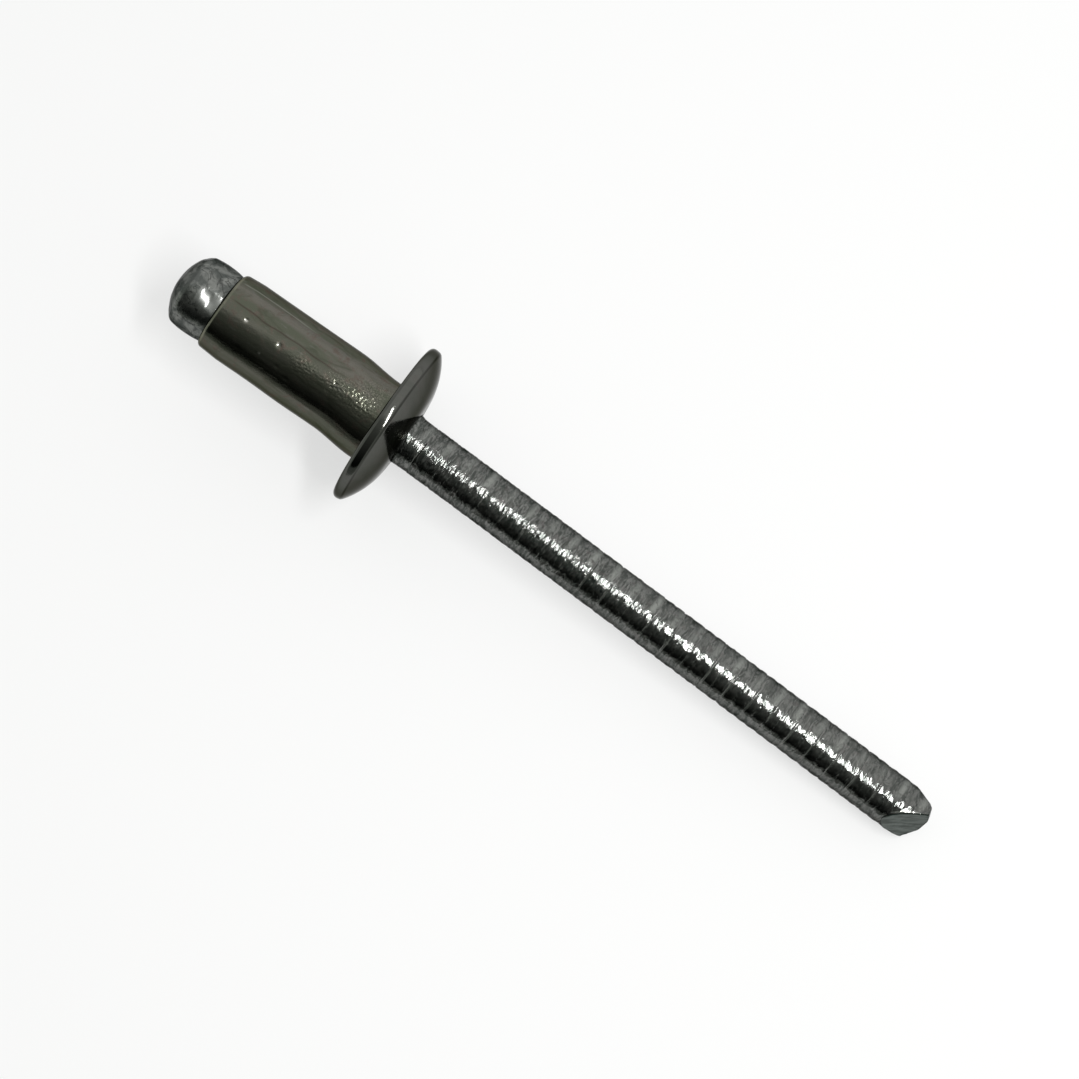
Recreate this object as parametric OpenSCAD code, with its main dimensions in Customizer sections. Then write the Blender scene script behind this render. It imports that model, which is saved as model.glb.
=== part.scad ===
// Steel blind rivet with a domed flange, lying as it comes to rest:
// on the rim of its flange and the tip of its mandrel. Millimetres and degrees.
// Both pieces are drawn upright round Z first, with the seat of the flange at z = 0,
// the mandrel's head below and its stem above, and are then laid down.

/* [Body] */
// Outside diameter of the hollow body
body_d = 4; // [3.9:0.05:4.4]
// Length of the body under the flange
body_l = 8.6; // [6:0.1:16]
// Gap all round between the mandrel's stem and the bore
stem_gap = 0.05; // [0.03:0.01:0.1]
// How far the body's end is drawn in, on the radius
end_draw = 0.06; // [0.02:0.01:0.15]
// Length of the drawn-in stretch at the body's end
end_draw_l = 1; // [0.6:0.1:2]
// Radius of the edge round the body's end
end_edge_r = 0.24; // [0.1:0.01:0.32]

/* [Flange] */
// Diameter of the flange
flange_d = 8; // [7:0.1:9]
// Height of the flange over its seat
flange_h = 1.4; // [1.3:0.02:2]
// Diameter of the flat crown round the stem
crown_d = 3; // [2.8:0.1:4]
// Radius of the domed slope from the crown to the rim
dome_r = 4; // [3.6:0.1:6]
// Radius of the edge between rim and dome
rim_edge_r = 0.2; // [0.1:0.02:0.4]
// Radius of the edge between rim and seat
seat_edge_r = 0.25; // [0.05:0.01:0.3]

/* [Mandrel head] */
// Largest diameter of the barrel-shaped head
head_d = 3.62; // [3.3:0.02:3.8]
// Length of the head beyond the body's end
head_h = 2.32; // [2.1:0.05:2.6]
// Height of the head's widest place over the body's end
head_wide_h = 0.8; // [0.6:0.05:1]
// Radius of the barrel's side along the axis
head_side_r = 4.5; // [3.5:0.1:8]
// Radius of the domed end
head_dome_r = 2.6; // [2.3:0.1:4]
// Radius of the edge between side and domed end
head_edge_r = 0.42; // [0.2:0.02:0.5]
// Slope of the flat that the header left on that edge, from the axis
head_flat_slope = 40.6; // [30:0.2:50]
// Where the flat lies round the axis
head_flat_turn = 105; // [0:5:355]
// How deep the flat goes into the edge
head_flat_depth = 0.08; // [0.05:0.01:0.2]

/* [Mandrel stem] */
// Diameter of the stem
stem_d = 2.45; // [2.2:0.05:2.7]
// Length of the stem from the top of the flange to the tip
stem_l = 29; // [20:0.1:40]
// Sideways bend of the stem where it leaves the flange
stem_lean = 2; // [0:0.1:3]
// Distance from one gripping groove to the next
groove_pitch = 1.15; // [0.8:0.05:2]
// Width of a gripping groove
groove_w = 0.16; // [0.1:0.02:0.3]
// Depth of a gripping groove
groove_depth = 0.04; // [0.02:0.01:0.08]
// Plain length of the stem above the flange, before the first groove
groove_start = 0.9; // [0.3:0.1:5]
// Plain length of the stem after the last groove, the tip included
groove_stop = 2.1; // [2.1:0.1:5]

/* [Break notch] */
// Diameter left at the bottom of the notch
notch_d = 1.8; // [1.4:0.05:2]
// Width of the notch
notch_w = 0.9; // [0.6:0.05:1.4]
// Distance of the notch from the mandrel's head
notch_rise = 1.4; // [0.8:0.1:3]

/* [Tip] */
// Length of the tip, where the pinch has drawn the stem in
tip_l = 2; // [2:0.05:2.1]
// How far the stem is drawn in at its end, on the radius
tip_draw = 0.02; // [0.01:0.01:0.06]
// Where the long facet lies round the axis
facet_turn = 227; // [0:1:359]
// Length of the long facet along the stem
facet_l = 1.81; // [1.4:0.01:1.9]
// Slope of the long facet, from the axis
facet_slope = 27.8; // [25:0.1:32]
// Length of the facet across from it
back_l = 1.88; // [1.5:0.01:1.99]
// Slope of the facet across from it
back_slope = 34.3; // [30:0.1:40]
// Length of the blunt facet at the lower end of the ridge
low_l = 0.45; // [0.3:0.01:0.7]
// Slope of that lower blunt facet
low_slope = 65.7; // [60:0.1:75]
// Length of the blunt facet at the upper end of the ridge
high_l = 0.28; // [0.1:0.01:0.4]
// Slope of that upper blunt facet
high_slope = 67.8; // [60:0.1:75]

/* [Hidden] */
$fn = 96;
// Finer steps for a circle of which only a short arc is used
fine_fn = 240;
body_r = body_d / 2;
flange_r = flange_d / 2;
stem_r = stem_d / 2;
bore_r = stem_r + stem_gap;
head_r = head_d / 2;
notch_r = notch_d / 2;
body_end = -body_l;
head_end = body_end - head_h;
crown_r = crown_d / 2;
slope_c = [crown_r, flange_h - dome_r];
rim_z = slope_c[1] + sqrt(pow(dome_r - rim_edge_r, 2) - pow(flange_r - rim_edge_r - crown_r, 2));
end_r = body_r - end_draw;
end_taper = atan(end_draw / end_draw_l);
// The block that a cut takes away reaches past the whole rivet
reach = body_l + head_h + stem_l + flange_h;

// Circles that shape the head's section: side, domed end, and the edge that touches both
side_c = [head_r - head_side_r, body_end - head_wide_h];
dome_c = [0, head_end + head_dome_r];
edge_c = meet(side_c, head_side_r - head_edge_r, dome_c, head_dome_r - head_edge_r);
edge_side_turn = turn_of(edge_c - side_c);
edge_dome_turn = turn_of(edge_c - dome_c);

// At rest the floor touches the rim's rounded edge and the end of the stem's lowest line,
// where the facet across from the long one has come round to it
under_l = stem_l - back_l + stem_r * (1 - cos(facet_turn - 180)) / tan(back_slope);
rest_long = flange_h + under_l * cos(stem_lean) - rim_z;
rest_deep = flange_r - rim_edge_r - stem_r;
rest_tilt = atan2(rest_deep, rest_long) + asin(rim_edge_r / norm([rest_long, rest_deep]));
rest_rise = rim_z * sin(rest_tilt) + (flange_r - rim_edge_r) * cos(rest_tilt) + rim_edge_r;

// The corner of the tip's end that reaches furthest up, where the long facet meets
// the upper blunt one
facet_in = stem_r - facet_l * tan(facet_slope);
high_in = stem_r - high_l * tan(high_slope);
corner_up = -facet_in * cos(facet_turn) - high_in * cos(facet_turn - 90);
low_x = dome_c[1] * cos(rest_tilt) - head_dome_r;
high_x = (flange_h + stem_l * cos(stem_lean)) * cos(rest_tilt) + corner_up * sin(rest_tilt);
mid_x = (low_x + high_x) / 2;

// Direction of a flat vector, in degrees
function turn_of(v) = atan2(v[1], v[0]);

// Where two circles meet, on the right of the way from the first centre to the second
function meet(c1, r1, c2, r2) =
    let (way = c2 - c1, d = norm(way), along = (d * d + r1 * r1 - r2 * r2) / (2 * d))
    let (across = sqrt(r1 * r1 - along * along), step = way / d)
    c1 + along * step + across * [step[1], -step[0]];

// What lies outside an edge circle between its two touching points
module edge_trim(c, r, from_turn, to_turn) {
    far = 2 * r;
    mid_turn = (from_turn + to_turn) / 2;
    far_mid = far / cos((to_turn - from_turn) / 2);
    difference() {
        polygon([
            c,
            c + far * [cos(from_turn), sin(from_turn)],
            c + far_mid * [cos(mid_turn), sin(mid_turn)],
            c + far * [cos(to_turn), sin(to_turn)]
        ]);
        translate(c) circle(r);
    }
}

// Section of the flange: a flat seat, a straight rim, a domed slope and a flat crown
module flange_section() {
    rim_c = [flange_r - rim_edge_r, rim_z];
    seat_c = [flange_r - seat_edge_r, seat_edge_r];
    difference() {
        union() {
            translate([bore_r, 0]) square([crown_r - bore_r, flange_h]);
            intersection() {
                translate([crown_r, 0]) square([flange_r - crown_r, flange_h]);
                translate(slope_c) circle(dome_r, $fn = fine_fn);
            }
        }
        edge_trim(rim_c, rim_edge_r, 0, turn_of(rim_c - slope_c));
        edge_trim(seat_c, seat_edge_r, -90, 0);
    }
}

// Section of the tube, drawn in a little towards its rounded end
module tube_section() {
    edge_c = [end_r - end_edge_r / tan(45 + end_taper / 2), body_end + end_edge_r];
    difference() {
        polygon([
            [bore_r, body_end],
            [end_r, body_end],
            [body_r, body_end + end_draw_l],
            [body_r, seat_edge_r],
            [bore_r, seat_edge_r]
        ]);
        edge_trim(edge_c, end_edge_r, -90, -end_taper);
    }
}

// Section of the barrel-shaped head under the body's end
module head_section() {
    difference() {
        intersection() {
            translate([0, head_end]) square([head_r, head_h]);
            translate(side_c) circle(head_side_r, $fn = fine_fn);
            translate(dome_c) circle(head_dome_r, $fn = fine_fn);
        }
        edge_trim(edge_c, head_edge_r, edge_dome_turn, edge_side_turn);
    }
}

// Section of the shank inside the body, with its break notch, up past the bend
module shank_section() {
    notch_z = body_end + notch_rise;
    polygon([
        [0, body_end],
        [stem_r, body_end],
        [stem_r, notch_z],
        [notch_r, notch_z + notch_w / 2],
        [stem_r, notch_z + notch_w],
        [stem_r, flange_h + stem_r],
        [0, flange_h + stem_r]
    ]);
}

// Section of the stem outside the body, from below the bend to the tip
module stem_section() {
    last = floor((stem_l - groove_start - groove_stop) / groove_pitch);
    polygon([
        [0, -stem_r],
        [stem_r, -stem_r],
        for (i = [0 : last], step = [-1, 0, 1])
            [
                stem_r - (1 - abs(step)) * groove_depth,
                groove_start + i * groove_pitch + step * groove_w / 2
            ],
        [stem_r, stem_l - tip_l],
        [stem_r - tip_draw, stem_l],
        [0, stem_l]
    ]);
}

// A block whose face cuts into the stem at a length from its end, leaning over by a slope
module facet_cut(turn, length, slope) {
    rotate([0, 0, turn])
    translate([stem_r, 0, stem_l - length])
    rotate([0, -slope, 0])
    translate([0, -stem_d, -stem_d])
    cube([2 * stem_d, 2 * stem_d, 4 * stem_d]);
}

// What the pinch took off the tip: the long facet, the one across from it,
// and the blunt ends of the ridge between them
module tip_cut() {
    union() {
        facet_cut(facet_turn, facet_l, facet_slope);
        facet_cut(facet_turn - 180, back_l, back_slope);
        facet_cut(facet_turn + 90, low_l, low_slope);
        facet_cut(facet_turn - 90, high_l, high_slope);
    }
}

// The flat that the header left on the edge of the head
module head_flat_cut() {
    rotate([0, 0, head_flat_turn])
    translate([edge_c[0], 0, edge_c[1]])
    rotate([0, head_flat_slope, 0])
    translate([head_edge_r - head_flat_depth, -head_d, -head_d])
    cube(2 * head_d);
}

// Everything below the plane where the straight and the leaning stretch meet
module below_bend() {
    translate([0, 0, flange_h])
    rotate([stem_lean / 2, 0, 0])
    translate([-reach, -reach, -2 * reach])
    cube(2 * reach);
}

// Head and shank, straight in the body
module straight_stretch() {
    intersection() {
        difference() {
            rotate_extrude() {
                head_section();
                shank_section();
            }
            head_flat_cut();
        }
        below_bend();
    }
}

// Stem with its grooves and pinched tip, leaning sideways
module leaning_stretch() {
    difference() {
        translate([0, 0, flange_h])
        rotate([stem_lean, 0, 0])
        difference() {
            rotate_extrude() stem_section();
            tip_cut();
        }
        below_bend();
    }
}

// Lays an upright piece down with its tip towards +X, its lowest point on the floor
// and the middle of its length over the origin
module lying() {
    translate([-mid_x, 0, rest_rise])
    rotate([0, 90 + rest_tilt, 0])
    children();
}

module rivet_body() {
    color([0.36, 0.35, 0.33])
    lying()
    rotate_extrude() {
        flange_section();
        tube_section();
    }
}

module mandrel() {
    color([0.45, 0.46, 0.47])
    lying() {
        straight_stretch();
        leaning_stretch();
    }
}

rivet_body();
mandrel();
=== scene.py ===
import math

import bpy
import numpy as np
from mathutils import Matrix, Vector


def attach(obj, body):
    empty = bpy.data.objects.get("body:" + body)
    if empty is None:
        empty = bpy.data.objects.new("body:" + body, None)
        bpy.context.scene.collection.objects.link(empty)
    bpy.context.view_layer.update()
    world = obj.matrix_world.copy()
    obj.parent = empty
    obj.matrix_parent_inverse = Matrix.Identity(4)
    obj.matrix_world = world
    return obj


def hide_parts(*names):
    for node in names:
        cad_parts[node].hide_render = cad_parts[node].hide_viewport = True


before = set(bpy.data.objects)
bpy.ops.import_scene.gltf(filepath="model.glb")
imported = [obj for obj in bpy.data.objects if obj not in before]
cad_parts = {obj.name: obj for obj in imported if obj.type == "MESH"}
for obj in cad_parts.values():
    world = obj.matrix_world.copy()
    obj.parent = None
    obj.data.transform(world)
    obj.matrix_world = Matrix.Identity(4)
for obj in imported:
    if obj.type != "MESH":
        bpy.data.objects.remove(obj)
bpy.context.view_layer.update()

# Both pieces are worked out in the rivet's own frame, in millimetres: z along its axis
# with the flange's seat at 0, -x up and y across. Round the axis an angle counts from up
# towards -y, the lower side of the picture. The next three values lay it down in the row.
TILT = math.radians(5.5343)
RISE = 4.0232646
MID_X = 9.7076531

# Body: radii of tube and bore, its end, and the flange with its flat crown
BODY_R, BORE_R, BODY_END = 2.0, 1.275, -8.6
FLANGE_R, FLANGE_H, CROWN_R = 4.0, 1.4, 1.5

# Mandrel's head: widest radius, where that lies, its end, and radii of side, dome and edge
HEAD_R, WIDE_Z, HEAD_END = 1.81, -9.4, -10.92
SIDE_R, DOME_R, EDGE_R = 4.5, 2.6, 0.42

# Stem: radius, length from the crown and sideways lean
STEM_R, STEM_L, LEAN = 1.225, 29.0, math.radians(2)
# Its grooves: how many, their pitch, and the height of the first over the crown
GROOVES, PITCH, GROOVE_FROM = 23, 1.15, 0.9
# The stem's rows start this far down in the bore, and the tip's rows this far over the crown
IN_BORE, TIP_FROM = 0.4, 27.05
# The break notch, a V turned round the axis, as radius and height of its three corners
NOTCH = ((STEM_R, -7.2), (0.9, -6.75), (STEM_R, -6.3))

# Planes that pinch the tip: where each lies round the axis, how far from the end it starts
# at the stem's side, and its slope from the axis, in degrees and mm
PINCH = (
    (47.0, 1.81, 27.8),
    (227.0, 1.88, 34.3),
    (137.0, 0.45, 65.7),
    (-43.0, 0.28, 67.8),
    (-80.0, 1.20, 13.0),
    (-80.0, 0.68, 34.0),
)
LONG_FACET = math.radians(PINCH[0][0])

# Marks on the tube. Dents: height, angle, width and depth. Painted glints, bright spots
# of colour that stand in for lamp light on tiny bumps: height, angle, width and how bright
# they are. Pitted patch: strength, then middle and half of height and of angle.
DENTS = (
    (-7.2, -0.12, 0.085, 0.03), (-5.4, -0.07, 0.11, 0.03), (-7.55, -0.44, 0.06, 0.012),
    (-5.0, 0.36, 0.09, 0.014), (-6.95, 0.52, 0.16, 0.012), (-2.6, -0.78, 0.14, 0.01),
    (-4.4, 0.48, 0.12, 0.012), (-3.7, -0.62, 0.10, 0.01),
)
PAINTED_GLINTS = ((-7.2, -0.105, 0.058, 1), (-5.45, -0.085, 0.062, 0.5), (-5.95, 0.33, 0.035, 0.8))
PATCH = (
    (1, -1.05, 1.15, -0.2, 0.6),
    (0.95, -2.4, 1.0, -0.08, 0.42),
    (0.7, -4.0, 1.1, 0.03, 0.36),
    (0.35, -0.7, 0.9, -0.6, 0.6),
)

# Flats that the header left on the head: angle round the axis, angle down towards the
# head's end, and depth. More small ones are drawn at random.
FLATS = (
    (-75, 40.6, 0.080), (-98, 24, 0.016), (-46, 50, 0.030), (-38, 14, 0.020),
    (-30, 72, 0.030), (62, 54, 0.030), (44, 18, 0.020), (100, 45, 0.030),
)
MORE_FLATS = 14
# Random strengths drawn for what repeats along the stem, one for each with some to spare
DRAWS = 40
# A sum of cosines seldom passes this many times its usual size
SPREAD = 1.6


# Helpers for surfaces
def lay_down(p):
    """Rivet frame in mm to row frame in m: turned by 90 degrees and the tilt about y, then lifted."""
    s, c = math.sin(TILT), math.cos(TILT)
    x, y, z = p[..., 0], p[..., 1], p[..., 2]
    return np.stack([-x * s + z * c - MID_X, y, -x * c - z * s + RISE], -1) / 1000


def ease(lo, hi, v):
    """0 below lo, 1 above hi, and 3t^2 - 2t^3 between them."""
    t = np.clip((v - lo) / (hi - lo), 0, 1)
    return t * t * (3 - 2 * t)


def between(a, b, c, d, v):
    """Eases up from a to b and down again from c to d."""
    return ease(a, b, v) * (1 - ease(c, d, v))


def bump(mid, half, v):
    """A smooth hill of height 1 at mid that is down to 0 at half on either side."""
    t = np.clip(1 - ((v - mid) / half) ** 2, 0, 1)
    return t * t


def run(lo, hi, v):
    """The running sum of ease(lo, hi, v): 0 below lo and rising with slope 1 above hi."""
    t = np.clip((v - lo) / (hi - lo), 0, 1)
    return (hi - lo) * (t ** 3 - t ** 4 / 2) + np.clip(v - hi, 0, None)


def waves(p, q, seed, low, high, count=24):
    """A field between about -1 and 1: the sum of count cosines over the plane (p, q), each
    with a direction, a wave number between low and high and a phase drawn by the seed."""
    rng = np.random.default_rng(seed)
    turn = rng.uniform(0, 2 * np.pi, count)
    k = rng.uniform(low, high, count) * 2 * np.pi
    phase = rng.uniform(0, 2 * np.pi, count)
    total = np.zeros(np.broadcast(p, q).shape)
    for t, f, a in zip(turn, k, phase):
        total += np.cos(f * (np.cos(t) * p + np.sin(t) * q) + a)
    return total / math.sqrt(count / 2) / SPREAD


def bands(z, turn, seed, low, high, drift, count=16):
    """Rings round the axis: a sum of cosines of z with wave numbers between low and high
    per mm, whose phases drift with the angle by whole turns so that the seam closes."""
    rng = np.random.default_rng(seed)
    k = rng.uniform(low, high, count) * 2 * np.pi
    phase = rng.uniform(0, 2 * np.pi, count)
    step = rng.integers(1, 4, count)
    shift = rng.uniform(0, 2 * np.pi, count)
    total = np.zeros(np.broadcast(z, turn).shape)
    for f, a, n, b in zip(k, phase, step, shift):
        total += np.cos(f * z + a + drift * 2 * np.sin(n * turn + b))
    return total / math.sqrt(count / 2) / SPREAD


def stretch(a, b, step):
    """Points from a up to b, b left out, as even steps of about the given length."""
    n = max(1, int(round(math.hypot(b[0] - a[0], b[1] - a[1]) / step)))
    t = np.arange(n)[:, None] / n
    return np.array(a) * (1 - t) + np.array(b) * t


def arc(c, r, a0, a1, step):
    """Points on the circle (c, r) from angle a0 up to a1 in degrees, the last left out."""
    n = max(3, int(round(abs(math.radians(a1 - a0)) * r / step)))
    a = np.radians(a0 + (a1 - a0) * np.arange(n) / n)
    return np.stack([c[0] + r * np.cos(a), c[1] + r * np.sin(a)], -1)


def grid_faces(rows, cols, close_rows):
    """Corners of the quads of a grid that closes round its columns and, if asked, its rows."""
    i = np.arange(rows if close_rows else rows - 1)[:, None]
    j = np.arange(cols)[None, :]
    ni, nj = (i + 1) % rows, (j + 1) % cols
    return np.stack([i * cols + j, ni * cols + j, ni * cols + nj, i * cols + nj], -1).reshape(-1, 4)


def piece(name, p, attributes, quads, tris=np.empty((0, 3), int)):
    """A mesh from whole arrays: p holds the vertices, quads and tris the corners of the
    faces, a face to each row. If the volume comes out negative, all faces turn round."""
    a, b, c = (p[np.concatenate([quads[:, k], tris[:, k]])] for k in range(3))
    if np.einsum("ij,ij->i", a, np.cross(b, c)).sum() < 0:
        quads, tris = quads[:, ::-1], tris[:, ::-1]
    loops = np.concatenate([quads.ravel(), tris.ravel()])
    sizes = np.repeat([4, 3], [len(quads), len(tris)])
    mesh = bpy.data.meshes.new(name)
    mesh.vertices.add(len(p))
    mesh.vertices.foreach_set("co", p.astype(np.float32).ravel())
    mesh.loops.add(len(loops))
    mesh.loops.foreach_set("vertex_index", loops.astype(np.int32))
    mesh.polygons.add(len(sizes))
    mesh.polygons.foreach_set("loop_start", (np.cumsum(sizes) - sizes).astype(np.int32))
    mesh.update(calc_edges=True)
    mesh.polygons.foreach_set("use_smooth", np.ones(len(sizes), bool))
    for key, values in attributes.items():
        kind, field = ("FLOAT_VECTOR", "vector") if values.ndim == 2 else ("FLOAT", "value")
        made = mesh.attributes.new(key, kind, "POINT")
        made.data.foreach_set(field, values.astype(np.float32).ravel())
    obj = bpy.data.objects.new(name, mesh)
    bpy.context.collection.objects.link(obj)
    return obj


# Hollow body
def body_profile():
    """Radius and height once round the wall: end face, rounded end edge, drawn-in stretch,
    tube, small inner corner, seat, rounded rim, domed slope, flat crown, mouth and bore."""
    fine = 0.052
    end_r, end_e, drawn = 1.94, 0.24, 1.0
    corner, seat_e, rim_r, rim_turn = 0.08, 0.25, 1.0, 18.2
    slope_r, slope_e, mouth = 4.0, 0.2, 0.05
    edge = (end_r - end_e, BODY_END + end_e)
    # the slope starts where a small edge of its own would touch it
    slope_turn = math.degrees(math.acos((FLANGE_R - slope_e - CROWN_R) / (slope_r - slope_e)))
    return np.concatenate([
        stretch((BORE_R, BODY_END), (edge[0], BODY_END), fine),
        arc(edge, end_e, -90, 0, 0.03),
        stretch((end_r, edge[1]), (BODY_R, BODY_END + drawn), fine),
        stretch((BODY_R, BODY_END + drawn), (BODY_R, -corner - 0.01), fine),
        arc((BODY_R + corner, -corner), corner, 180, 90, 0.025),
        stretch((BODY_R + corner, 0), (FLANGE_R - seat_e, 0), 0.09),
        arc((FLANGE_R - seat_e, seat_e), seat_e, -90, 0, 0.03),
        arc((FLANGE_R - rim_r, seat_e), rim_r, 0, rim_turn, 0.028),
        arc((CROWN_R, FLANGE_H - slope_r), slope_r, slope_turn, 90, fine),
        stretch((CROWN_R, FLANGE_H), (BORE_R + mouth, FLANGE_H), 0.03),
        arc((BORE_R + mouth, FLANGE_H - mouth), mouth, 90, 180, 0.02),
        stretch((BORE_R, FLANGE_H - mouth), (BORE_R, BODY_END), 0.6),
    ])


def body_wear(r, z, turn):
    """How much each place is lowered, in mm, and the marks that the finish reads. Sums of
    cosines give drawing lines, a slow swell, pits and crumbs, bell curves the dents and the
    painted glints, bright spots that stand in for lamp light, narrow hills beside a wavering
    line the scar and the score, and a bell curve round the profile the crease in the rim."""
    outer = ((r > BORE_R + 0.01) & (z < 0)) * 1.0 * (r > 1.7)
    flange = ease(-0.05, 0.05, z) * ease(1.5, 1.9, r)
    width = BODY_R * turn

    lines = 0.0016 * (waves(width, z * 0.06, 3, 1.5, 5) + 1) * outer
    swell = 0.010 * (waves(width, z, 4, 0.1, 0.45) + 1) * outer
    patch = sum(strength * bump(at_z, half_z, z) * bump(at_turn, half_turn, turn)
                for strength, at_z, half_z, at_turn, half_turn in PATCH)
    patch = np.clip(patch, 0, 1) * outer
    pits = 0.022 * np.clip(waves(width, z, 5, 3.8, 8.5, 44) - 0.05, 0, 1) * patch
    crumbs = 0.0022 * np.clip(waves(width, z, 6, 2.0, 6.0, 30) - 0.35, 0, 1) * outer
    plate = 0.0035 * (waves(np.sin(turn) * r, np.cos(turn) * r, 7, 0.15, 0.6) + 1) * flange

    dents, painted_glint = np.zeros_like(z), np.zeros_like(z)
    for at_z, at_turn, wide, deep in DENTS:
        far = np.hypot(z - at_z, (turn - at_turn) * BODY_R) / wide
        dents += deep * np.exp(-far * far) * outer
    # painted glints: bright spots standing in for lamp light caught on small bumps
    for at_z, at_turn, wide, white in PAINTED_GLINTS:
        far = np.hypot(z - at_z, (turn - at_turn) * BODY_R) / wide
        painted_glint = np.maximum(painted_glint, white * np.exp(-far * far) * outer)

    scar_line = turn + 0.325 + 0.014 * np.sin(2.2 * z) + 0.008 * np.sin(5.1 * z)
    scar = bump(0, 0.055, scar_line * BODY_R) * between(-8.4, -7.9, -3.4, -2.0, z) * outer
    score_line = turn + 0.90 + 0.01 * np.sin(1.7 * z)
    score = bump(0, 0.04, score_line * BODY_R) * between(-8.35, -8.1, -5.2, -4.0, z) * outer
    crease = np.exp(-((r - 3.945) ** 2 + (z - 0.566) ** 2) / 0.042 ** 2)

    lowered = lines + swell + pits + crumbs + dents + plate + 0.014 * scar + 0.006 * score + 0.012 * crease
    return lowered, {
        "patch": patch,
        "flange": flange,
        "scar": scar,
        # bright: the painted glints, and a paler scratch along the score
        "bright": np.clip(painted_glint + 0.25 * score, 0, 1),
        # edge: where a painted highlight lies, a pale ring on the tube's rounded end
        "edge": bump(-8.47, 0.09, z) * (r > 1.8),
        # crease: also where the finish paints shade into the crease between rim and dome
        "crease": crease,
        # side: where the finish paints shade and dark reflection, from just above the tube's top round its
        # lower side
        "side": between(-0.36, -0.27, 2.4, 2.8, turn) * outer,
    }


def body_surface():
    """The wall's closed profile turned round the axis and lowered by its wear along its
    normal. Then the seat's side thins towards the lower side, the end is cut a little
    oblique, and the tube bows sideways at its neck, each by an eased share of its amount."""
    cols = 320
    thins, oblique, bows = 0.07, 0.09, 0.15
    line = body_profile()
    r = np.repeat(line[:, :1], cols, 1)
    z = np.repeat(line[:, 1:], cols, 1)
    turn = np.linspace(-np.pi, np.pi, cols, endpoint=False)[None, :] + 0 * r
    step = np.roll(line, -1, 0) - np.roll(line, 1, 0)
    out = np.stack([step[:, 1], -step[:, 0]], -1)
    out /= np.linalg.norm(out, axis=1, keepdims=True)
    lowered, marks = body_wear(r, z, turn)
    worn_r = r - lowered * out[:, :1]
    worn_z = z - lowered * out[:, 1:]
    low_side = np.clip(np.sin(turn), 0, 1) ** 2
    worn_z += thins * low_side * ease(2.1, 3.2, r) * (1 - ease(0.2, 0.62, z)) * (z < 0.7)
    worn_z -= oblique * low_side * (1 - ease(-8.5, -7.4, z)) * ease(1.70, 1.80, r)
    bow = bows * ease(-2.3, -0.3, z) * (1 - ease(1.98, 2.9, r)) * (z <= 0.01) * (r > 1.5)
    p = np.stack([-worn_r * np.cos(turn), -worn_r * np.sin(turn) - bow, worn_z], -1)
    local = np.stack([-r * np.cos(turn), -r * np.sin(turn), z], -1)
    attributes = {"local": local.reshape(-1, 3)} | {key: mark.ravel() for key, mark in marks.items()}
    return piece("rivet_body_look", lay_down(p.reshape(-1, 3)), attributes, grid_faces(len(line), cols, True))


# Mandrel
def pinch_height(r, turn):
    """Height over the crown of the lowest pinch plane, with the edges between planes
    rounded: minus the logarithm of the sum of exp(-height / w), times w."""
    w = 0.018
    total = 1 + 0 * r
    for at, length, slope in PINCH:
        rho = r * np.cos(turn - math.radians(at))
        height = -length + (STEM_R - rho) / math.tan(math.radians(slope))
        total = total + np.exp(-np.clip(height, -6, 6) / w)
    return STEM_L - w * np.log(total)


def barrel(z):
    """Radius of the head's side: an arc about a centre that lies beyond the axis."""
    return HEAD_R - SIDE_R + np.sqrt(np.maximum(SIDE_R ** 2 - (z - WIDE_Z) ** 2, 0))


def head_profile():
    """Radius and height along the head: domed end, an edge whose circle touches the dome's
    and the side's from inside, barrel side, shoulder, and shank up to the break notch."""
    side_c, dome_c = np.array([HEAD_R - SIDE_R, WIDE_Z]), np.array([0, HEAD_END + DOME_R])
    gap = dome_c - side_c
    apart = np.linalg.norm(gap)
    to_side, to_dome = SIDE_R - EDGE_R, DOME_R - EDGE_R
    along = (apart ** 2 + to_side ** 2 - to_dome ** 2) / (2 * apart)
    across = math.sqrt(to_side ** 2 - along ** 2)
    unit = gap / apart
    edge_c = side_c + along * unit + across * np.array([unit[1], -unit[0]])
    side_turn, dome_turn = (math.degrees(math.atan2(v[1], v[0])) for v in (edge_c - side_c, edge_c - dome_c))
    end_turn = math.degrees(math.asin((BODY_END - WIDE_Z) / SIDE_R))
    # the dome stops short of the axis, where a pole closes it, and the side has its last
    # rows close together, which keeps the corner at the shoulder sharp
    pole_turn, corner_turn = -88.8, end_turn - 0.09
    return np.concatenate([
        arc(dome_c, DOME_R, pole_turn, dome_turn, 0.05),
        arc(edge_c, EDGE_R, dome_turn, side_turn, 0.03),
        arc(side_c, SIDE_R, side_turn, corner_turn, 0.036),
        arc(side_c, SIDE_R, corner_turn, end_turn, 0.036),
        stretch((barrel(BODY_END), BODY_END), (STEM_R, BODY_END), 0.1),
        stretch((STEM_R, BODY_END), NOTCH[0], 0.6),
    ])


def shank_profile():
    """Radius and height along the rest of the shank: the break notch, then straight up."""
    return np.concatenate([
        stretch(NOTCH[0], NOTCH[1], 0.2),
        stretch(NOTCH[1], NOTCH[2], 0.2),
        stretch(NOTCH[2], (STEM_R, FLANGE_H - IN_BORE), 0.9),
    ])


def stem_heights():
    """Heights of the stem's rows, close together at each groove and even between them."""
    cell = np.concatenate([np.linspace(-0.07, 0.07, 9), np.linspace(0.12, 1.03, 16)])
    first = FLANGE_H + GROOVE_FROM
    start = np.linspace(FLANGE_H - IN_BORE, first - 0.11, 18, endpoint=False)
    grooved = (first + PITCH * np.arange(GROOVES)[:, None] + cell[None, :]).ravel()
    return np.concatenate([start, grooved[grooved < FLANGE_H + TIP_FROM - 0.03]])


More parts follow.
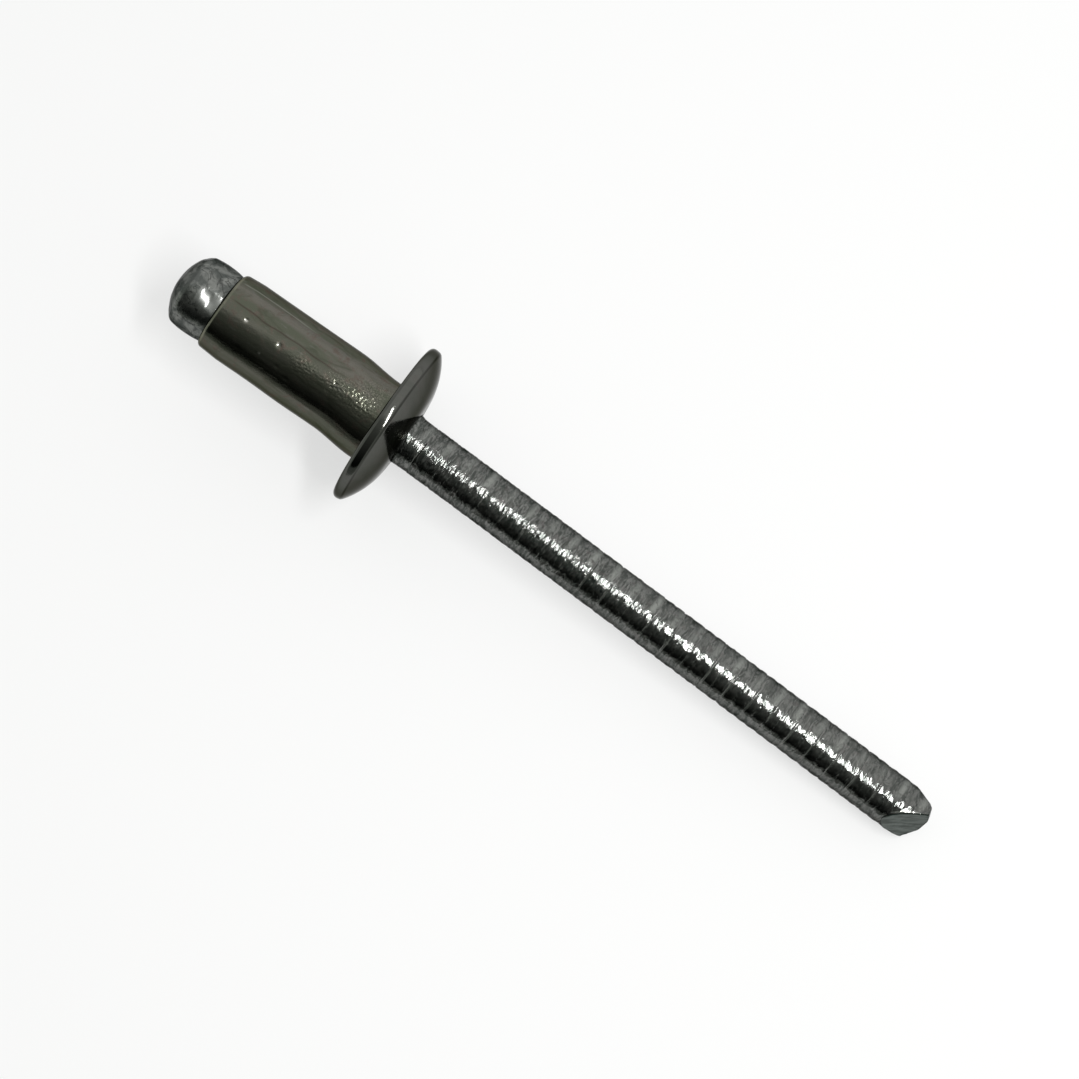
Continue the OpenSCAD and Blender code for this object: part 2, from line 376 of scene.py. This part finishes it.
def mandrel_grid():
    """Radius, height and angle of all points, with the numbers of rows up to the notch, up
    to the stem, and up to the tip's edge. The tip's rows are shares of the way from a ring
    to the pinched edge, and the end's rows lie on the pinch planes and shrink to the axis.
    The columns lie twice as close on top: the angle less half its own sine."""
    cols, tip_rows, end_rows = 112, 44, 30
    turn = np.linspace(-np.pi, np.pi, cols, endpoint=False)[None, :]
    turn = turn - 0.5 * np.sin(turn)
    head, shank, stem_z = head_profile(), shank_profile(), stem_heights()
    inner = np.concatenate([head, shank])
    share = np.linspace(0, 1, tip_rows)[:, None]
    tip_z = FLANGE_H + TIP_FROM + (pinch_height(np.full_like(turn, STEM_R), turn) - TIP_FROM) * share
    inwards = (np.arange(1, end_rows)[:, None] / end_rows) ** 1.15
    end_r = STEM_R * (1 - inwards) + 0 * turn
    end_z = FLANGE_H + pinch_height(end_r, turn + 0 * end_r)
    z = np.concatenate([np.repeat(inner[:, 1:], cols, 1), stem_z[:, None] + 0 * turn, tip_z, end_z])
    side_r = np.full((len(stem_z) + tip_rows, cols), STEM_R)
    r = np.concatenate([np.repeat(inner[:, :1], cols, 1), side_r, end_r])
    return r, z, turn + 0 * r, (len(head), len(inner), len(inner) + len(side_r))


def stem_wear(h, turn, live):
    """How much the stem is lowered at a height h over the crown, and two marks. Gripping
    grooves are hills of depth once a pitch, with a slip and a waver of their own, and
    smaller ones lie half way. Lands follow a cosine twice a pitch and grow towards the tip.
    Rolled rings, chatter and dimples are sums of cosines."""
    rng = np.random.default_rng(21)
    depth = rng.uniform(0.45, 1.0, DRAWS)
    slip = rng.uniform(-0.02, 0.02, DRAWS)
    minor_depth = rng.uniform(0, 1, DRAWS)
    up = h - GROOVE_FROM
    k = np.floor((up + PITCH / 2) / PITCH)
    one = np.clip(k, 0, DRAWS - 1).astype(int)
    there = (k >= 0) & (k < GROOVES)
    off = up - k * PITCH - slip[one] - 0.012 * np.sin(turn + 150 * slip[one])
    groove = 0.030 * depth[one] * bump(0, 0.06, off) * there * (0.6 + 0.4 * ease(7, 13, h))
    half_way = off - PITCH / 2
    half_way = np.where(half_way < -PITCH / 2, half_way + PITCH, half_way)
    minor = 0.012 * minor_depth[one] * bump(0, 0.06, half_way) * there

    swing = 4 * np.pi * up / PITCH + 1.3 * np.sin(turn + 0.6) + 0.9 * np.sin(1.3 * h)
    land = (0.5 - 0.5 * np.cos(swing)) * (0.05 + 0.95 * ease(9, 17, h)) * live
    waist = 0.016 * (0.5 + 0.5 * np.cos(swing)) * (0.3 + 0.7 * ease(7, 16, h))
    slow = 0.0035 * (1 + np.cos(swing / 2)) + waist
    width = STEM_R * turn
    rolled = 0.0066 * (bands(h, turn, 31, 2.2, 4.6, 1.0) + 1) * (1 - 0.6 * land)
    chatter = 0.0036 * (waves(width * 0.7, h, 32, 2.5, 6.0, 40) + 1) * (1 - 0.5 * land)
    dimple = 0.011 * np.clip(waves(width, h, 33, 0.8, 2.4, 30) - 0.1, 0, 1)
    lowered = (groove + minor + slow + rolled + chatter + dimple) * live * (1 - 0.5 * ease(27.5, 28.4, h))
    return lowered, np.clip(groove * live / 0.03, 0, 1), land


def pressed_head(p, z, turn, on_head, flats):
    """The head's points with the header's marks, and how far each lies within the pressed
    spot. What lies beyond a flat's plane is pressed back to it by a share. The spot is on
    top, 0.6 mm across: the head narrows there towards the tube by a running sum of slopes
    and is nearly flat across, so it mirrors the lamp once."""
    give = 0.85
    for at, down, deep in flats:
        a, e = math.radians(at), math.radians(down)
        n = np.array([-math.cos(a) * math.cos(e), -math.sin(a) * math.cos(e), -math.sin(e)])
        over = p @ n - ((p @ n)[on_head].max() - deep)
        p = p - (np.clip(over, 0, 1) * on_head * give)[..., None] * n

    start_r, narrows, flattens = 1.80840, 0.17, 0.11
    across = 1.8 * turn
    dish = bump(0, 0.52, across)
    slope = run(-9.57, -9.47, z) - run(-9.10, -9.00, z)
    spot = np.clip(barrel(z) - start_r + narrows * slope, 0, 0.2) * ease(-9.60, -9.52, z) * dish
    spot -= flattens * across * dish * between(-9.58, -9.46, -9.10, -9.00, z)
    inwards = np.stack([np.cos(turn), np.sin(turn), 0 * turn], -1)
    within = np.clip(1.6 * dish, 0, 1) * ease(-9.72, -9.62, z) * on_head
    return p + (spot * on_head)[..., None] * inwards, within


def forged_skin(x, y, z, within):
    """Depth of the head's forged skin: slow and quick sums of cosines, nearly none in the
    pressed spot."""
    slow = 0.0045 * (waves(x + 0.4 * z, y - 0.3 * z, 41, 0.4, 1.6, 24) + 1)
    quick = 0.0018 * (waves(x + 0.7 * z, y + 0.2 * z, 42, 2.5, 6.0, 30) + 1)
    return (slow + quick) * (1 - 0.9 * within)


def leaning(p):
    """The stem turned sideways by the lean about the crown's middle, with both directions
    blended at the mitre, and a sideways offset that dies away along the stem."""
    y, up = p[..., 1], p[..., 2] - FLANGE_H
    outside = up > 0
    side = np.where(outside, y * math.cos(LEAN) - up * math.sin(LEAN), y)
    high = np.where(outside, FLANGE_H + y * math.sin(LEAN) + up * math.cos(LEAN), p[..., 2])
    blend = ease(-0.12, 0.12, up - y * math.tan(LEAN / 2))
    offset = 0.05 * np.exp(-np.clip(up, 0, 99) / 5) * ease(0, 0.25, up)
    height = p[..., 2] * (1 - blend) + high * blend
    return np.stack([p[..., 0], y * (1 - blend) + side * blend - offset, height], -1)


def mandrel_surface():
    """Rings round a line that is straight in the body and leans outside it: head, shank
    with its break notch, stem with gripping grooves, and a tip cut by the six pinch planes.
    Each step below moves the points a little, and either end closes to one point."""
    r, z, turn, (head_rows, inner_rows, side_rows) = mandrel_grid()
    rows, cols = r.shape
    row = np.arange(rows)[:, None] + 0 * r
    on_head = row < head_rows
    on_stem = (row >= inner_rows) & (row < side_rows)
    on_end = row >= side_rows - 1
    h = z - FLANGE_H
    live = on_stem * ease(0.0, 0.2, h)

    # the tip is drawn in a little over its last 2 mm
    r = r - 0.02 * ease(27, 29, h) * (r / STEM_R) * (row >= inner_rows)
    lowered, groove, land = stem_wear(h, turn, live)
    r = r - lowered
    # a small fillet where the stem leaves the crown, on the lower side only
    low_side = np.clip(np.sin(turn), 0, 1) ** 2
    r = r + 0.11 * np.exp(-np.clip(h, 0, 9) / 0.13) * low_side * ease(-0.02, 0.02, h) * on_stem
    # the sheared strip beside the long facet, with a square front edge
    off_strip = turn - math.radians(13)
    flat_r = (STEM_R - 0.055 - 0.03 * ease(28.2, 29, h)) / np.cos(np.clip(off_strip, -1, 1))
    sheared = r - np.clip(r - flat_r, 0, 1) * ease(27.86, 27.93, h)
    r = np.where(on_stem & (np.abs(off_strip) < 0.5), sheared, r)

    rng = np.random.default_rng(77)
    more = zip(*[rng.uniform(lo, hi, MORE_FLATS) for lo, hi in ((28, 332), (5, 78), (0.006, 0.020))])
    # strength of each pitch's painted sheen
    painted_sheen = rng.uniform(0.25, 1.0, DRAWS)
    local = np.stack([-r * np.cos(turn), -r * np.sin(turn), z], -1)
    x, y = local[..., 0], local[..., 1]
    p, within = pressed_head(local, z, turn, on_head, FLATS + tuple(more))
    forged = forged_skin(p[..., 0], y, z, within) * on_head
    from_centre = p - np.array([0, 0, WIDE_Z])
    away = np.linalg.norm(from_centre, axis=-1, keepdims=True)
    p = p - forged[..., None] * from_centre / np.maximum(away, 0.5)
    # the sheared end is slightly torn: pushed back along the axis by sums of cosines
    torn = 0.004 * (waves(x * 0.5 + y * 0.9, x * 0.2 - y * 0.15, 51, 1.0, 5.0) + 1)
    torn += 0.006 * (waves(x, y, 52, 0.4, 1.2) + 1)
    p[..., 2] -= torn * on_end
    p = leaning(p)

    # painted sheen: paler places one to a pitch, on the upper side only, whose cells start at this height
    cell_from = 0.4
    at_pitch = np.mod(h - GROOVE_FROM - 0.42 + 0.13 * (turn + 0.9), PITCH) - PITCH / 2
    one = np.clip(np.floor((h - cell_from) / PITCH), 0, DRAWS - 1).astype(int)
    pale = bump(0.0, 0.24, at_pitch) * between(-1.5, -1.25, -0.42, -0.12, turn) * live * painted_sheen[one]
    # the long facet's upper edge: painted shade inside it and a painted highlight on the burr outside it
    off_facet = turn - LONG_FACET
    inside = (STEM_R - r) / np.sqrt(np.sin(off_facet) ** 2 + 0.217 * np.cos(off_facet) ** 2)
    facet_edge_shade = (1 - ease(0.09, 0.16, inside)) * on_end * between(-0.75, -0.5, 0.55, 0.85, turn)
    to_edge = np.where(on_stem, FLANGE_H + pinch_height(STEM_R + 0 * r, turn) - z, 9)
    burr = bump(0.09, 0.09, to_edge) * between(-0.3, -0.1, 0.3, 0.5, turn)
    # each mark with its values at the two poles, one closing the head's end, one the tip's
    marks = {
        "pale": (pale, 0, 0),
        "facet": (on_end * 1.0, 0, 1),
        "groove": (groove, 0, 0),
        "land": (land, 0, 0),
        "facet_edge_shade": (facet_edge_shade, 0, 0),
        "burr": (burr, 0, 0),
        "head": (on_head * 1.0, 1, 0),
        "plain": (within, 0, 0),
    }
    tip_h = pinch_height(np.zeros(1), np.zeros(1))[0]
    poles = [[0, 0, HEAD_END], [0, -tip_h * math.sin(LEAN), FLANGE_H + tip_h * math.cos(LEAN)]]
    attributes = {"local": np.concatenate([local.reshape(-1, 3), [poles[0], [0, 0, FLANGE_H + tip_h]]])}
    attributes |= {key: np.append(mark.ravel(), at_poles) for key, (mark, *at_poles) in marks.items()}
    j = np.arange(cols)
    nj = (j + 1) % cols
    last, tail = (rows - 1) * cols, np.full(cols, rows * cols)
    tris = np.concatenate([np.stack([tail, j, nj], -1), np.stack([tail + 1, last + nj, last + j], -1)])
    points = lay_down(np.concatenate([p.reshape(-1, 3), poles]))
    return piece("mandrel_look", points, attributes, grid_faces(rows, cols, False), tris)


# Materials
class Nodes:
    """Short calls for the nodes of one tree."""

    def __init__(self, tree):
        self.tree = tree
        self.made = 0

    def add(self, kind, **values):
        n = self.tree.nodes.new(kind)
        self.made += 1
        n.location = (-250 * (1 + self.made % 6), -180 * (self.made // 6))
        for key, value in values.items():
            setattr(n, key, value)
        return n

    def put(self, value, socket):
        if isinstance(value, bpy.types.NodeSocket):
            self.tree.links.new(value, socket)
        else:
            socket.default_value = value

    def fill(self, n, **values):
        for key, value in values.items():
            self.put(value, n.inputs[key.replace("_", " ")])
        return n

    def attribute(self, name, output="Fac"):
        return self.add("ShaderNodeAttribute", attribute_name=name).outputs[output]

    def scaled(self, vector, scale, turn=(0, 0, 0)):
        n = self.fill(self.add("ShaderNodeMapping"), Vector=vector, Scale=scale, Rotation=turn)
        return n.outputs["Vector"]

    def noise(self, vector, scale, detail=3.0, rough=0.5, warp=0.0):
        n = self.add("ShaderNodeTexNoise")
        self.fill(n, Vector=vector, Scale=scale, Detail=detail, Roughness=rough, Distortion=warp)
        return n.outputs["Fac"]

    def remap(self, value, a, b, c, d, kind="SMOOTHSTEP"):
        n = self.add("ShaderNodeMapRange", interpolation_type=kind)
        self.fill(n, Value=value, From_Min=a, From_Max=b, To_Min=c, To_Max=d)
        return n.outputs["Result"]

    def maths(self, op, a, b=0.0):
        n = self.add("ShaderNodeMath", operation=op)
        self.put(a, n.inputs[0])
        self.put(b, n.inputs[1])
        return n.outputs[0]

    def times(self, a, b):
        return self.maths("MULTIPLY", a, b)

    def plus(self, a, b):
        return self.maths("ADD", a, b)

    def less(self, a, b):
        return self.maths("SUBTRACT", a, b)

    def mix(self, fac, a, b):
        n = self.add("ShaderNodeMix", data_type="RGBA")
        self.put(fac, n.inputs[0])
        self.put(a, n.inputs[6])
        self.put(b, n.inputs[7])
        return n.outputs[2]

    def coats(self, colour, *over):
        """A colour with others laid over it in turn, each as strong as its mask."""
        for mask, coat in over:
            colour = self.mix(mask, colour, coat)
        return colour

    def metal(self, colour, rough, tint, relief, microns):
        """Joins colour, gloss, edge tint and a relief of the given height to the shader."""
        n = self.fill(self.add("ShaderNodeBump"), Height=relief, Distance=microns * 1e-6, Strength=1.0)
        self.fill(self.tree.nodes["Principled BSDF"], Base_Color=colour, Metallic=1.0, Roughness=rough,
                  Specular_Tint=tint, Normal=n.outputs["Normal"])


def material(name):
    """A new material and the short calls for its nodes."""
    made = bpy.data.materials.new(name)
    made.use_nodes = True
    return made, Nodes(made.node_tree)


def body_steel():
    """Dull drawn steel: warm grey with long olive and brown streaks along the tube, darker
    and paler grains in the pitted patch and a brown scar. Painted light: shade on the lower
    side and in the rim's crease, a highlight on the end edge, and glints as bright spots.
    Lines, pores and a fine grain give the relief."""
    warm, olive, brown = (0.124, 0.119, 0.103, 1), (0.086, 0.093, 0.070, 1), (0.106, 0.083, 0.070, 1)
    shade, fleck, dark_blotch = (0.080, 0.083, 0.066, 1), (0.15, 0.147, 0.138, 1), (0.058, 0.064, 0.046, 1)
    dark_grain, pale_grain = (0.045, 0.048, 0.036, 1), (0.24, 0.235, 0.19, 1)
    scar_brown, flange_grey = (0.045, 0.034, 0.028, 1), (0.090, 0.092, 0.087, 1)
    painted_crease_shade, painted_edge_highlight = (0.022, 0.022, 0.020, 1), (0.20, 0.20, 0.155, 1)
    glint_white, edge_tint = (0.62, 0.61, 0.57, 1), (0.38, 0.38, 0.37, 1)

    steel, m = material("body_steel")
    local = m.attribute("local", "Vector")
    patch, flange, scar, edge, side, bright, crease = map(
        m.attribute, ("patch", "flange", "scar", "edge", "side", "bright", "crease"))
    blotch = m.noise(m.scaled(local, (1.0, 1.0, 0.45)), 1.1, 5, 0.7, 0.8)
    streak = m.noise(m.scaled(local, (1.0, 1.0, 0.16)), 1.2, 4, 0.6, 0.5)
    fine = m.noise(m.scaled(local, (1.0, 1.0, 0.20)), 6.0, 4, 0.65)
    mottle = m.noise(local, 2.0, 5, 0.66, 0.5)
    grain = m.noise(local, 17.0, 3, 0.6)
    lines = m.noise(m.scaled(local, (1.0, 1.0, 0.07)), 12.0, 2, 0.6)
    pores = m.noise(m.scaled(local, (1.0, 1.0, 0.7)), 4.2, 3, 0.6, 0.4)
    colour = m.coats(
        warm,
        (m.remap(streak, 0.38, 0.64, 0, 1), olive),
        # painted shade and dark reflection: the tube darker and more olive from just above its top round its
        # lower side
        (m.times(side, 0.55), shade),
        (m.remap(mottle, 0.52, 0.68, 0, 0.75), brown),
        (m.remap(fine, 0.57, 0.72, 0, 0.5), fleck),
        (m.times(patch, m.remap(grain, 0.5, 0.62, 0, 0.75)), dark_grain),
        (m.times(patch, m.remap(grain, 0.50, 0.36, 0, 0.7)), pale_grain),
        (m.remap(blotch, 0.50, 0.64, 0, 0.6), dark_blotch),
        (m.times(scar, 0.8), scar_brown),
        (m.times(flange, 0.8), flange_grey),
        # painted shade: the crease between rim and dome darkened
        (crease, painted_crease_shade),
        # painted highlight: a pale ring on the tube's rounded end edge
        (m.times(edge, m.remap(mottle, 0.35, 0.6, 0.5, 1.0)), painted_edge_highlight),
        # painted glints: bright spots of colour standing in for lamp light, and the paler score
        (bright, glint_white),
    )
    rough = m.less(m.remap(mottle, 0.35, 0.70, 0.12, 0.20), m.times(flange, 0.07))
    rough = m.plus(rough, m.remap(grain, 0.4, 0.7, -0.01, 0.04))
    relief = m.plus(m.plus(m.times(lines, 0.5), grain), m.times(pores, 1.5))
    relief = m.times(relief, m.less(1.0, m.times(flange, 0.7)))
    m.metal(colour, rough, edge_tint, relief, 3.2)
    return steel


def mandrel_steel():
    """Bright rolled wire gone grey: cool grey with dark rings, smooth sheared facets at the
    tip and a forged skin with dark folds on the head. Painted light: a sheen in paler places
    once a pitch on the upper side, highlights in the grooves, on the burr beside the long
    facet and on the pressed spot, which is smooth, and shade along that facet's upper edge.
    Ridges, shear lines and a fine grain give the relief."""
    wire, dark_ring = (0.170, 0.173, 0.166, 1), (0.062, 0.068, 0.063, 1)
    fleck, brown = (0.050, 0.055, 0.050, 1), (0.115, 0.104, 0.102, 1)
    land_grey, sheen_grey = (0.135, 0.139, 0.132, 1), (0.245, 0.256, 0.240, 1)
    painted_groove_highlight, fold_black = (0.24, 0.24, 0.23, 1), (0.040, 0.042, 0.040, 1)
    shear_dark, shear_pale = (0.088, 0.097, 0.091, 1), (0.150, 0.166, 0.157, 1)
    painted_shade_black, painted_burr_highlight = (0.020, 0.027, 0.023, 1), (0.50, 0.50, 0.48, 1)
    skin_dark, skin_pale = (0.084, 0.091, 0.086, 1), (0.205, 0.212, 0.200, 1)
    painted_spot_highlight, edge_tint = (0.36, 0.365, 0.355, 1), (0.32, 0.32, 0.32, 1)
    spot_rough = 0.215

    steel, m = material("mandrel_steel")
    local = m.attribute("local", "Vector")
    pale, facet, groove, head, land, facet_edge_shade, burr, plain = map(
        m.attribute, ("pale", "facet", "groove", "head", "land", "facet_edge_shade", "burr", "plain"))
    rings = m.noise(m.scaled(local, (1.1, 1.1, 4.0)), 1.5, 4, 0.65, 1.2)
    fine = m.noise(m.scaled(local, (1.6, 1.6, 4.5)), 3.2, 3, 0.6, 0.8)
    ridge = m.noise(m.scaled(local, (1.2, 1.2, 3.6)), 1.7, 1.5, 0.5, 1.1)
    mottle = m.noise(local, 3.0, 4, 0.62, 0.6)
    grain = m.noise(local, 20.0, 2, 0.6)
    lines = m.noise(m.scaled(local, (3.0, 0.5, 0.5), (0, 0, 0.6)), 2.4, 3, 0.6)
    skin = m.noise(local, 1.45, 5, 0.62, 0.5)
    fold = m.maths("ABSOLUTE", m.less(m.noise(local, 1.05, 2.5, 0.5, 1.1), 0.5))
    painted_sheen = m.times(pale, m.remap(mottle, 0.66, 0.48, 0.25, 1.0))
    shear = m.mix(m.remap(lines, 0.36, 0.66, 0, 1), shear_dark, shear_pale)
    forged = m.coats(
        skin_dark,
        (m.remap(skin, 0.42, 0.58, 0, 1), skin_pale),
        (m.remap(fold, 0.0, 0.026, 0.85, 0), fold_black),
    )
    colour = m.coats(
        wire,
        (m.remap(rings, 0.38, 0.62, 0, 1), dark_ring),
        (m.remap(fine, 0.50, 0.64, 0, 0.6), fleck),
        (m.remap(mottle, 0.52, 0.70, 0, 0.45), brown),
        (m.times(land, 0.4), land_grey),
        # painted sheen: paler places once a pitch, on the upper side only
        (painted_sheen, sheen_grey),
        # painted highlight: the grooves paler all round, standing in for light caught on their walls
        (m.times(groove, 0.4), painted_groove_highlight),
        (m.times(facet, 0.92), shear),
        # painted shade along the long facet's upper edge
        (facet_edge_shade, painted_shade_black),
        # painted highlight: a bright line on the burr beside the long facet
        (burr, painted_burr_highlight),
        (m.times(head, 0.85), forged),
        # painted highlight: the pressed spot paler, so that the lamp it mirrors reads white
        (m.times(plain, 0.8), painted_spot_highlight),
    )
    rough = m.remap(mottle, 0.3, 0.7, 0.10, 0.18)
    for mask, more in ((m.less(head, plain), 0.09), (facet, 0.06), (painted_sheen, 0.10), (land, -0.04)):
        rough = m.plus(rough, m.times(mask, more))
    rough = m.less(rough, m.times(plain, m.less(rough, spot_rough)))
    stem = m.less(1.0, m.maths("MAXIMUM", facet, m.times(head, 0.6)))
    stem = m.times(stem, m.less(1.0, m.times(land, 0.8)))
    relief = m.times(m.plus(m.times(ridge, 5.4), m.times(fine, 1.3)), stem)
    relief = m.plus(relief, m.times(lines, m.times(facet, 0.9)))
    relief = m.plus(relief, m.times(grain, 0.30))
    relief = m.times(relief, m.less(1.0, m.times(plain, 0.9)))
    m.metal(colour, rough, edge_tint, relief, 5.5)
    return steel


# Floor, light and camera
def floor():
    """A pale square that keeps the shadow. Camera and glossy rays see it partly as white."""
    half, seen_white = 3.0, 0.62
    mesh = bpy.data.meshes.new("floor")
    corners = [(-half, -half, 0), (half, -half, 0), (half, half, 0), (-half, half, 0)]
    mesh.from_pydata(corners, [], [(0, 1, 2, 3)])
    obj = bpy.data.objects.new("floor", mesh)
    bpy.context.collection.objects.link(obj)
    white, m = material("floor_white")
    m.tree.nodes.remove(m.tree.nodes["Principled BSDF"])
    plain = m.fill(m.add("ShaderNodeBsdfDiffuse"), Color=(0.80, 0.80, 0.80, 1))
    glow = m.fill(m.add("ShaderNodeEmission"), Color=(1, 1, 1, 1), Strength=1.0)
    ray = m.add("ShaderNodeLightPath").outputs
    mirrored = m.maths("MAXIMUM", ray["Is Glossy Ray"], ray["Is Transmission Ray"])
    both = m.add("ShaderNodeMixShader")
    m.put(m.times(m.maths("MAXIMUM", ray["Is Camera Ray"], mirrored), seen_white), both.inputs[0])
    m.put(plain.outputs[0], both.inputs[1])
    m.put(glow.outputs[0], both.inputs[2])
    m.put(both.outputs[0], m.tree.nodes["Material Output"].inputs["Surface"])
    mesh.materials.append(white)


def studio():
    """A soft light all round: brighter on the +y side, with a dark card beside the camera
    on the -y side that steel shows as a band, and a pale stretch below the card. Both end
    past the rivet's ends. Angles are in degrees."""
    # the card fades from here to there, then ends, and what is below it gets paler again
    fades, ends, pales = (3.0, 74.0), (75.0, 76.5), (82.0, 94.0)
    card_level, under_card, under_level, foot_level = 0.38, 0.012, 0.30, 0.2
    past_ends, open_level, more_open = 0.62, 0.78, 0.32
    green_white, warm_white = (0.95, 1.0, 0.93, 1), (1.0, 1.0, 0.985, 1)
    degrees = math.degrees(1)

    world = bpy.data.worlds.new("studio")
    bpy.context.scene.world = world
    world.use_nodes = True
    world.node_tree.nodes.clear()
    m = Nodes(world.node_tree)
    way = m.add("ShaderNodeSeparateXYZ")
    m.put(m.add("ShaderNodeTexCoord").outputs["Generated"], way.inputs[0])
    # from straight up towards -y, and from the plane across the rivet towards +x
    lean = m.times(m.maths("ARCTAN2", m.times(way.outputs["Y"], -1.0), way.outputs["Z"]), degrees)
    along = m.times(m.maths("ARCSINE", way.outputs["X"]), degrees)
    fade = m.times(m.maths("POWER", m.remap(lean, *fades, 1.0, 0.0, "LINEAR"), 1.8), card_level)
    below = m.plus(m.remap(lean, *ends, under_card, under_level), m.remap(lean, *pales, 0.0, foot_level))
    card = m.plus(m.times(fade, m.remap(lean, *ends, 1.0, 0.0)), below)
    beside = m.times(m.remap(along, -42.0, -28.0, 0.0, 1.0), m.remap(along, 24.0, 40.0, 1.0, 0.0))
    dark_side = m.plus(m.times(card, beside), m.times(m.less(1.0, beside), past_ends))
    open_side = m.plus(open_level, m.times(beside, more_open))
    is_open = m.remap(lean, -13.0, 3.0, 1.0, 0.0)
    level = m.plus(m.times(open_side, is_open), m.times(dark_side, m.less(1.0, is_open)))
    tint = m.mix(m.remap(lean, -20.0, 10.0, 1.0, 0.0), green_white, warm_white)
    shade = m.fill(m.add("ShaderNodeBackground"), Color=tint, Strength=level)
    m.put(shade.outputs[0], m.add("ShaderNodeOutputWorld").inputs["Surface"])


def lamp(name, at, to, wide, deep, level):
    """A rectangular soft lamp in mm; its power gives the stated brightness of its face."""
    data = bpy.data.lights.new(name, "AREA")
    data.shape = "RECTANGLE"
    data.size, data.size_y = wide / 1000, deep / 1000
    data.energy = level * math.pi * data.size * data.size_y
    obj = bpy.data.objects.new(name, data)
    obj.location = Vector(at) / 1000
    obj.rotation_mode = "QUATERNION"
    obj.rotation_quaternion = (Vector(at) - Vector(to)).to_track_quat("Z", "Y")
    bpy.context.collection.objects.link(obj)


def camera():
    """The camera of the photograph, from the fit of the outline: it stands almost straight
    above the rivet, and its picture is turned and shifted a little."""
    side, roll = math.radians(-3.718), math.radians(-34.787)
    # distance and height of the point looked at in mm, pixels to a mm there, and the shift,
    # the picture's width and the sensor's in pixels and mm
    far, look_z, scale = 111.269, 3, 22.3
    right, down, picture, sensor = 20.793, 5.036, 1079, 36
    ry = np.array([[math.cos(side), 0, math.sin(side)], [0, 1, 0], [-math.sin(side), 0, math.cos(side)]])
    rz = np.array([[math.cos(roll), -math.sin(roll), 0], [math.sin(roll), math.cos(roll), 0], [0, 0, 1]])
    axes = rz @ ry
    data = bpy.data.cameras.new("camera")
    data.sensor_width = sensor
    data.lens = scale * far / picture * sensor
    data.shift_x, data.shift_y = -right / picture, down / picture
    data.clip_start, data.clip_end = 0.005, 10
    obj = bpy.data.objects.new("camera", data)
    place = Matrix([list(row) for row in axes.T]).to_4x4()
    place.translation = (Vector((0, 0, look_z)) + far * Vector(axes[2])) / 1000
    obj.matrix_world = place
    bpy.context.collection.objects.link(obj)
    bpy.context.scene.camera = obj


body = body_surface()
body.data.materials.append(body_steel())
mandrel = mandrel_surface()
mandrel.data.materials.append(mandrel_steel())
for obj, node in ((body, "rivet_body"), (mandrel, "mandrel")):
    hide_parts(node)
    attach(obj, "root")

floor()
studio()
lamp("strip", at=(39, 18, 122), to=(10, 0, 0), wide=66, deep=11, level=46.0)
camera()
bpy.context.scene.view_settings.view_transform = "Standard"
